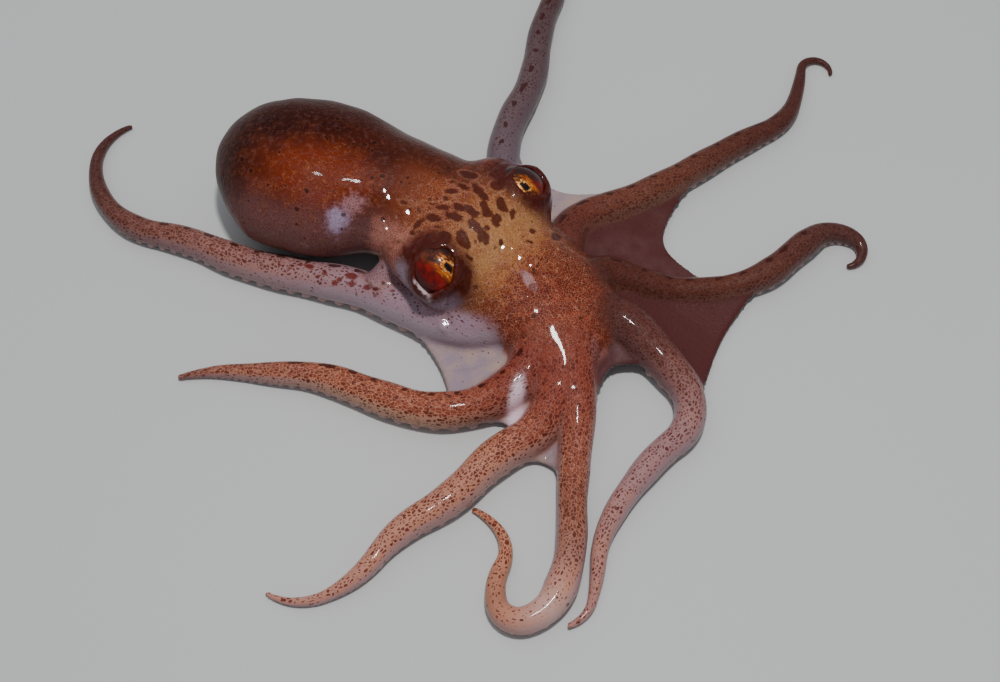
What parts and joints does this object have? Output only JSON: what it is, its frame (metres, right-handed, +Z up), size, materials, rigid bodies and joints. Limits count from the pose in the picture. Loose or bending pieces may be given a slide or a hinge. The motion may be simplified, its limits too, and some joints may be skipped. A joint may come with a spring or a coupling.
{
  "type": "octopus",
  "caption": "Life-size museum model of a young red octopus resting on the floor, with an egg-shaped mantle, raised eyes and long webbed, curling arms.",
  "frame": {"origin": "middle of the animal's bounding box in plan, on the floor that it rests on", "axes": "+Z up, the shortest side; +Y along the longest side, towards the rearmost left arm's tip; +X to the right, away from the mantle"},
  "size_m": [0.1104, 0.1242, 0.0169],
  "materials": {
    "mantle_skin": "wet, smooth, translucent red-brown skin with fine dark speckle",
    "head_skin": "wet golden-tan skin with dark maroon blotches",
    "arm_skin": "wet orange-pink skin under a net of dark red-brown spots, with two rows of pale suckers beneath",
    "web_skin": "wet, thin, translucent purple-brown web",
    "pale_skin": "wet pale lilac skin",
    "eye": "glossy clear-coated eye with gold flecks round a dark slit"
  },
  "bodies": {
    "root": {"mantle": "mantle_skin", "head": "head_skin", "arm_crown": "arm_skin", "funnel": "pale_skin", "eye_right": "eye", "eye_left": "eye", "arm_R4_base": "arm_skin", "arm_R4_middle": "arm_skin", "arm_R4_tip": "arm_skin", "arm_R3_base": "arm_skin", "arm_R3_middle": "arm_skin", "arm_R3_tip": "arm_skin", "arm_R2_base": "arm_skin", "arm_R2_middle": "arm_skin", "arm_R2_tip": "arm_skin", "arm_R1_base": "arm_skin", "arm_R1_middle": "arm_skin", "arm_R1_tip": "arm_skin", "arm_L1_base": "arm_skin", "arm_L1_middle": "arm_skin", "arm_L1_tip": "arm_skin", "arm_L2_base": "arm_skin", "arm_L2_middle": "arm_skin", "arm_L2_tip": "arm_skin", "arm_L3_base": "arm_skin", "arm_L3_middle": "arm_skin", "arm_L3_tip": "arm_skin", "arm_L4_base": "arm_skin", "arm_L4_middle": "arm_skin", "arm_L4_tip": "arm_skin", "web_R4_R3": "web_skin", "web_R3_R2": "web_skin", "web_R2_R1": "web_skin", "web_R1_L1": "web_skin", "web_L1_L2": "web_skin", "web_L2_L3": "web_skin", "web_L3_L4": "web_skin", "web_L4_R4": "web_skin"}
  },
  "joints": []
}
